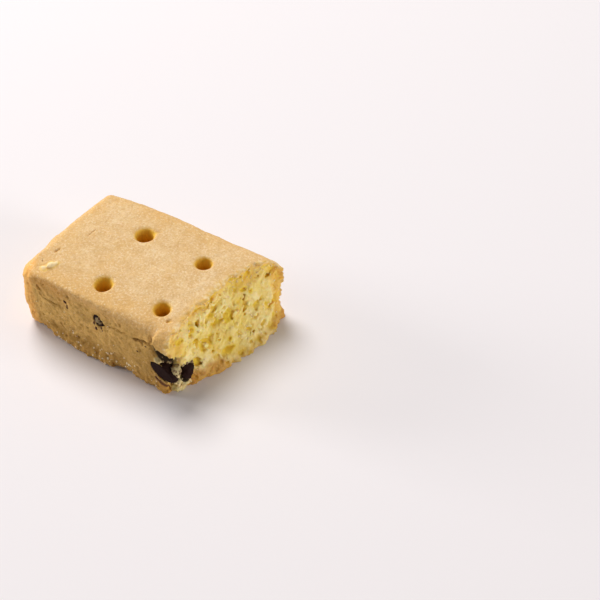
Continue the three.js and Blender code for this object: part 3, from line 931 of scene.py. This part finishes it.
def mask_biscuit(piece):
    p = tuple(points_of(piece).T)
    x, y, z = p
    depth = -skin_distance(x, y, z)
    torn = break_distance(x, y, z)
    walls = wall_distance(x, y, z)
    lid = z - top_height(x, y)
    hole = falling(hole_distance(x, y, z), 0.05, 0.45) * smooth(depth, 0.0, 0.5)
    hollow = falling(hollow_distance(p), 0.2, 0.6) * smooth(depth, 0.35, 0.8)
    fused = falling(fused_distance(p), 0.02, 0.22)
    crumb = smooth(depth + relief(p, "rim"), 0.05, 0.8) * smooth(torn, -2.4, -1.4) * (1.0 - hole)
    crumb = np.maximum(crumb, np.maximum(hollow, fused))
    # deep: painted shade that darkens the holes further down
    masks = {"crumb": crumb, "soft": crumb * (1.0 - fused), "hole": hole, "deep": smooth(depth, 0.9, 3.2)}
    masks.update(skin_masks(p, torn, walls, lid, crumb))
    masks.update(crumb_masks(p, torn, walls, lid, depth, fused))
    masks.update(chocolate_masks(p, hollow, fused))
    for name, values in masks.items():
        store(piece, name, values)


# Specks, crumbs and grains, each kind one mesh of stones


def ball(divisions):
    """Vertices and triangles of a unit ball."""
    shape = bmesh.new()
    bmesh.ops.create_icosphere(shape, subdivisions=divisions, radius=1.0)
    vertices = np.array([v.co[:] for v in shape.verts], np.float32)
    faces = np.array([[v.index for v in face.verts] for face in shape.faces], np.int32)
    shape.free()
    return vertices, faces


def upright_frames(normals, draw):
    """Turns that take z to each normal, with a random turn about it."""
    normals = normals / np.linalg.norm(normals, axis=1, keepdims=True)
    helper = draw.normal(size=normals.shape)
    across = np.cross(normals, helper)
    across /= np.linalg.norm(across, axis=1, keepdims=True)
    return np.stack([across, np.cross(normals, across), normals], 2)


def stones(name, groups, draw):
    """Rough stones that sit in the surface, from groups of places, normals and mean breadths."""
    places, normals, sizes = (np.concatenate([group[n] for group in groups]) for n in range(3))
    divisions, flat, sink = STONES[name]
    vertices, faces = ball(divisions)
    count = len(places)
    rough = 1.0 + STONE_ROUGH * draw.uniform(-1.0, 1.0, (count, len(vertices), 1))
    scale = 0.5 * sizes[:, None] * draw.uniform(*STONE_STRETCH, (count, 3))
    scale[:, 2] *= flat
    local = vertices[None] * rough * scale[:, None]
    local[:, :, 2] -= sink * scale[:, None, 2]
    turned = np.einsum("nij,nvj->nvi", upright_frames(normals, draw), local)
    points = (turned + places[:, None]).reshape(-1, 3)
    joined = (faces[None] + len(vertices) * np.arange(count)[:, None, None]).reshape(-1, 3)
    piece = mesh_object(name, points, joined)
    if divisions == 1:
        piece.data.shade_flat()
    return piece


def strewn(piece, name, weights, draw):
    """Places, normals and breadths of stones, drawn with the given weights inside their zone."""
    count, breadths, zone = STREWN[name]
    points = points_of(piece)
    for values, axis in zip(points.T, "xyz"):
        low, high = zone.get(axis, (-END, END))
        weights = weights * (values > low) * (values < high)
    chosen = draw.choice(len(weights), size=count, replace=False, p=weights / weights.sum())
    normals = np.array([piece.data.vertices[int(i)].normal[:] for i in chosen])
    return points[chosen], normals, draw.uniform(*breadths, count)


def build_specks(tree, draw):
    """Specks where rays from the near side first meet the biscuit."""
    places, normals = [], []
    for x, z, _ in SPECKS:
        start = Vector(to_frame((x, SPECK_RAYS_Y, z)).tolist())
        place, normal, _, _ = tree.ray_cast(start, Vector((0.0, 1.0, 0.0)))
        places.append(to_bar(place[:]))
        normals.append(normal[:])
    sizes = np.array([size for _, _, size in SPECKS])
    return stones("chip_specks", [(np.array(places), np.array(normals), sizes)], draw)


def build_grains(piece, draw):
    """Sugar grains: coarse ones along the foot of the near side and finer ones above."""
    skin = (1.0 - value_of(piece, "crumb")) * (1.0 - value_of(piece, "hole"))
    groups = [strewn(piece, name, skin, draw) for name in ("foot sugar", "side sugar")]
    return stones("sugar_grains", groups, draw)


def build_smeared(piece, draw):
    """Crumbs that the chocolate has greyed: between the chips, at their rims and on one of them."""
    p = tuple(points_of(piece).T)
    crumb = value_of(piece, "crumb")
    pad = crumb * np.exp(-((pad_distance(p) / STREWN_REACH) ** 2))
    rim = crumb * np.exp(-((chip_ellipsoid(p, CHIPS["chip_break"]) / STREWN_REACH) ** 2))
    rim = rim * smooth(break_distance(*p), -0.7, -0.1)
    x, z, sizes = np.array(FRAGMENTS).T
    places = np.stack([x, np.full(len(x), FRAGMENT_Y), z], 1)
    groups = [(places, np.tile(FRAGMENT_NORMAL, (len(x), 1)), sizes)]
    for name, weights in (("pad", pad), ("chip rim", rim), ("hollow", value_of(piece, "cocoa"))):
        groups.append(strewn(piece, name, weights, draw))
    return stones("smeared_crumbs", groups, draw)


def build_crumbs(piece, draw):
    """Crumbs that cling to the broken corner, along the torn rim of the top and over the torn end."""
    crumb = value_of(piece, "crumb") * (1.0 - value_of(piece, "cocoa"))
    rim = crumb * value_of(piece, "toast")
    groups = []
    for name, weights in (("corner", crumb), ("top rim", rim), ("torn end", crumb)):
        groups.append(strewn(piece, name, weights, draw))
    return stones("crumb_bits", groups, draw)


# Materials


def new_material(name):
    material = bpy.data.materials.new(name)
    material.use_nodes = True
    tree = material.node_tree
    return material, tree, tree.nodes["Principled BSDF"]


def add_node(tree, kind, **settings):
    node = tree.nodes.new(kind)
    for key, value in settings.items():
        if hasattr(node, key):
            setattr(node, key, value)
        else:
            node.inputs[key.replace("_", " ")].default_value = value
    return node


def feed(tree, socket, value):
    """Sets a socket to a number or colour, or links another socket to it."""
    if isinstance(value, tuple):
        socket.default_value = (*value, 1.0)
    elif isinstance(value, (int, float)):
        socket.default_value = value
    else:
        tree.links.new(value, socket)


def calculated(tree, operation, a, b):
    node = add_node(tree, "ShaderNodeMath", operation=operation)
    feed(tree, node.inputs[0], a)
    feed(tree, node.inputs[1], b)
    return node.outputs[0]


def times(tree, a, b):
    return calculated(tree, "MULTIPLY", a, b)


def plus(tree, a, b):
    return calculated(tree, "ADD", a, b)


def mixed(tree, share, first, second):
    """Colour between two colours or sockets."""
    node = add_node(tree, "ShaderNodeMix", data_type="RGBA")
    for number, value in ((MIX_SHARE, share), (MIX_FIRST, first), (MIX_SECOND, second)):
        feed(tree, node.inputs[number], value)
    return node.outputs[MIX_RESULT]


def mask(tree, name):
    return add_node(tree, "ShaderNodeAttribute", attribute_name=name).outputs["Fac"]


def tinted(tree, colour, name, tint):
    """Colour mixed with a tint where a mask is, as far as that mask brings it in."""
    return mixed(tree, times(tree, mask(tree, name), TINTS[name]), colour, tint)


def millimetres(tree):
    """Object coordinates in millimetres, from one node for the whole tree."""
    scale = tree.nodes.get("millimetres")
    if scale is None:
        where = add_node(tree, "ShaderNodeTexCoord")
        scale = add_node(tree, "ShaderNodeVectorMath", name="millimetres", operation="SCALE")
        scale.inputs["Scale"].default_value = 1.0 / MM
        tree.links.new(where.outputs["Object"], scale.inputs[0])
    return scale.outputs[0]


def speckle(tree, size, detail, low, high):
    """Noise of the given grain size, stretched between two levels to 0 and 1."""
    texture = add_node(tree, "ShaderNodeTexNoise", Scale=1.0 / size, Detail=detail, Roughness=NOISE_ROUGHNESS)
    tree.links.new(millimetres(tree), texture.inputs["Vector"])
    levels = add_node(tree, "ShaderNodeMapRange", From_Min=low, From_Max=high)
    tree.links.new(texture.outputs["Fac"], levels.inputs["Value"])
    return levels.outputs["Result"]


def speckled(tree, name):
    return speckle(tree, *SPECKLES[name])


def bumped(tree, heights, strength, depth):
    bump = add_node(tree, "ShaderNodeBump", Distance=depth * MM)
    feed(tree, bump.inputs["Strength"], strength)
    tree.links.new(heights, bump.inputs["Height"])
    return bump.outputs["Normal"]


def finish(tree, shader, colour, roughness, specular, normal=None):
    feed(tree, shader.inputs["Base Color"], colour)
    if normal:
        tree.links.new(normal, shader.inputs["Normal"])
    shader.inputs["Roughness"].default_value = roughness
    shader.inputs["Specular IOR Level"].default_value = specular


def skin_colour(tree):
    """Golden top with pale flecks, browner towards its edges and down the sides."""
    sided = mask(tree, "side")
    top = mixed(tree, speckled(tree, "top"), TOP_GOLD, TOP_PALE)
    top = mixed(tree, times(tree, speckled(tree, "top patches"), TOP_PATCHES), top, BAKED_GOLD)
    side = mixed(tree, speckled(tree, "side"), SIDE_TAN, SIDE_DARK)
    skin = tinted(tree, mixed(tree, sided, top, side), "bake", BAKED_GOLD)
    skin = tinted(tree, skin, "brow", EDGE_BROWN)
    skin = tinted(tree, skin, "shade", SIDE_SHADED)
    # dark of the flecks, and the painted shade of the crevices below
    dark = mixed(tree, sided, CRUST_BROWN, SIDE_DEEP)
    share = plus(tree, times(tree, sided, FLECKS["side"]), FLECKS["top"])
    skin = mixed(tree, times(tree, speckled(tree, "dark flecks"), share), skin, dark)
    # painted shade in the crevices of the skin
    skin = tinted(tree, skin, "crevice_shade", dark)
    # cracks: golden on the top, painted shade down the sides
    skin = tinted(tree, skin, "crack", mixed(tree, sided, HOLE_GOLD, SIDE_DEEP))
    # painted light on the near corner of the intact end, partly its baked orange
    skin = tinted(tree, skin, "corner", CORNER_LIT_TAN)
    fleck = mixed(tree, sided, TOP_FLECK, SIDE_FLECK)
    skin = mixed(tree, times(tree, speckled(tree, "pale flecks"), share), skin, fleck)
    # hole walls golden, with painted shade further down
    skin = mixed(tree, mask(tree, "hole"), skin, mixed(tree, mask(tree, "deep"), HOLE_GOLD, HOLE_DEPTH_SHADE))
    return tinted(tree, skin, "pale", mixed(tree, speckled(tree, "rim"), CRUST_CREAM, TOASTED))


def crumb_colour(tree):
    """Yellow crumb with painted shade in its pits and painted highlights on its ridges, toasted near the
    crust, and a flake with a painted lit top and shaded sides.
    """
    # painted highlight on the ridges of the crumb
    crumb = tinted(tree, CRUMB_YELLOW, "lit_ridge", CRUMB_RIDGE_HIGHLIGHT)
    crumb = mixed(tree, times(tree, speckled(tree, "crumb"), CRUMB_SPECKLE), crumb, CRUMB_SPECK_AND_PIT_SHADE)
    crumb = tinted(tree, crumb, "toast", TOASTED)
    # painted shade in the pits and dents of the crumb
    crumb = tinted(tree, crumb, "pit", CRUMB_SPECK_AND_PIT_SHADE)
    crumb = mixed(tree, mask(tree, "grey"), crumb, GREYED)
    # the stuck flake: painted light on its top, painted shade in gold on its sides
    return mixed(tree, mask(tree, "flake"), crumb, mixed(tree, mask(tree, "lit_ridge"), FLAKE_SHADED_SIDE, FLAKE_LIT_TOP))


def biscuit_material():
    material, tree, shader = new_material("biscuit")
    colour = mixed(tree, mask(tree, "crumb"), skin_colour(tree), crumb_colour(tree))
    base = mixed(tree, times(tree, speckled(tree, "base"), BASE_SPECKLE), BASE_BROWN, TOASTED)
    # cocoa: the halo of chocolate, and dark patches in the hollow that are partly painted shade
    for name, tint in (("base", base), ("cocoa", COCOA_AND_HOLLOW_SHADE), ("smear", SMEARED)):
        colour = tinted(tree, colour, name, tint)
    heights = plus(tree, speckled(tree, "skin bumps"), speckled(tree, "skin bumps coarse"))
    strength = plus(tree, times(tree, mask(tree, "crumb"), SKIN_BUMPS["crumb"]), SKIN_BUMPS["skin"])
    bumps = bumped(tree, heights, strength, depth=0.16)
    finish(tree, shader, colour, roughness=0.8, specular=0.12, normal=bumps)
    soft = plus(tree, times(tree, mask(tree, "soft"), SUBSURFACE["crumb"]), SUBSURFACE["skin"])
    tree.links.new(soft, shader.inputs["Subsurface Weight"])
    shader.inputs["Subsurface Radius"].default_value = (1.0, 0.7, 0.25)
    shader.inputs["Subsurface Scale"].default_value = 0.9 * MM
    return material


def chocolate_material():
    material, tree, shader = new_material("chocolate")
    colour = mixed(tree, speckled(tree, "bloom"), CHOCOLATE, CHOCOLATE_BLOOM)
    bumps = bumped(tree, speckled(tree, "chip bumps"), strength=0.35, depth=0.08)
    finish(tree, shader, colour, roughness=0.6, specular=0.05, normal=bumps)
    return material


def stone_material(name, first, second, size, roughness):
    """Material of small pieces, two colours mixed in grains of the given size."""
    material, tree, shader = new_material(name)
    colour = mixed(tree, speckle(tree, size, *STONE_SPECKLE), first, second)
    bumps = bumped(tree, speckled(tree, "stone bumps"), strength=0.4, depth=0.1)
    finish(tree, shader, colour, roughness, specular=0.15, normal=bumps)
    return material


def floor_material():
    material, tree, shader = new_material("floor")
    finish(tree, shader, FLOOR, roughness=0.9, specular=0.1)
    return material


def dress(piece, material, node=None):
    piece.data.materials.clear()
    piece.data.materials.append(material)
    if node:
        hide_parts(node)
    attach(piece, "root")


# Pieces

draw = np.random.default_rng(SEED)
biscuit = build_biscuit()
mask_biscuit(biscuit)
dress(biscuit, biscuit_material(), "biscuit")
chocolate = chocolate_material()
for chip_name, chip in CHIPS.items():
    dress(build_chip(chip_name, chip), chocolate, chip_name)
surface = BVHTree.FromObject(biscuit, bpy.context.evaluated_depsgraph_get())
cocoa_bits = stone_material("chocolate_bits", SMEARED, COCOA_RED, size=0.5, roughness=0.8)
dress(build_specks(surface, draw), cocoa_bits)
sugar = stone_material("sugar", SUGAR, TOP_FLECK, size=0.4, roughness=0.3)
dress(build_grains(biscuit, draw), sugar)
greyed = stone_material("greyed_crumb", GREYED, SMEARED, size=0.45, roughness=0.8)
dress(build_smeared(biscuit, draw), greyed)
crumb_tan = stone_material("crumb", CRUMB_TAN, CRUST_CREAM, size=0.5, roughness=0.8)
dress(build_crumbs(biscuit, draw), crumb_tan)


# Camera, floor and light

camera_data = bpy.data.cameras.new("camera")
camera_data.lens = CAMERA_LENS
camera_data.sensor_width = 36.0
camera_data.clip_start = 0.001
camera = bpy.data.objects.new("camera", camera_data)
down, turn = math.radians(CAMERA_DOWN), math.radians(CAMERA_TURN)
look = Vector((-math.sin(turn) * math.cos(down), math.cos(turn) * math.cos(down), -math.sin(down)))
camera.location = Vector(to_frame(CAMERA_AIM).tolist()) - look * CAMERA_DISTANCE * MM
camera.rotation_euler = look.to_track_quat("-Z", "Y").to_euler()
bpy.context.scene.collection.objects.link(camera)
bpy.context.scene.camera = camera

bpy.ops.mesh.primitive_plane_add(size=3.0, location=(0.0, 0.0, FLOOR_Z))
floor = bpy.context.object
floor.name = "floor"
floor.data.materials.append(floor_material())


def area_light(name, place, size, watts, colour):
    """Round soft light that looks at the part."""
    light = bpy.data.lights.new(name, "AREA")
    light.shape = "DISK"
    light.size = size
    light.energy = watts
    light.color = colour
    lamp = bpy.data.objects.new(name, light)
    lamp.location = place
    lamp.rotation_euler = (-Vector(place)).to_track_quat("-Z", "Y").to_euler()
    bpy.context.scene.collection.objects.link(lamp)


for row in LIGHTS:
    area_light(**row)
world = bpy.context.scene.world or bpy.data.worlds.new("world")
bpy.context.scene.world = world
world.use_nodes = True
background = world.node_tree.nodes["Background"]
background.inputs["Color"].default_value = (1.0, 0.98, 0.98, 1.0)
background.inputs["Strength"].default_value = 0.18
bpy.context.scene.view_settings.view_transform = "Standard"
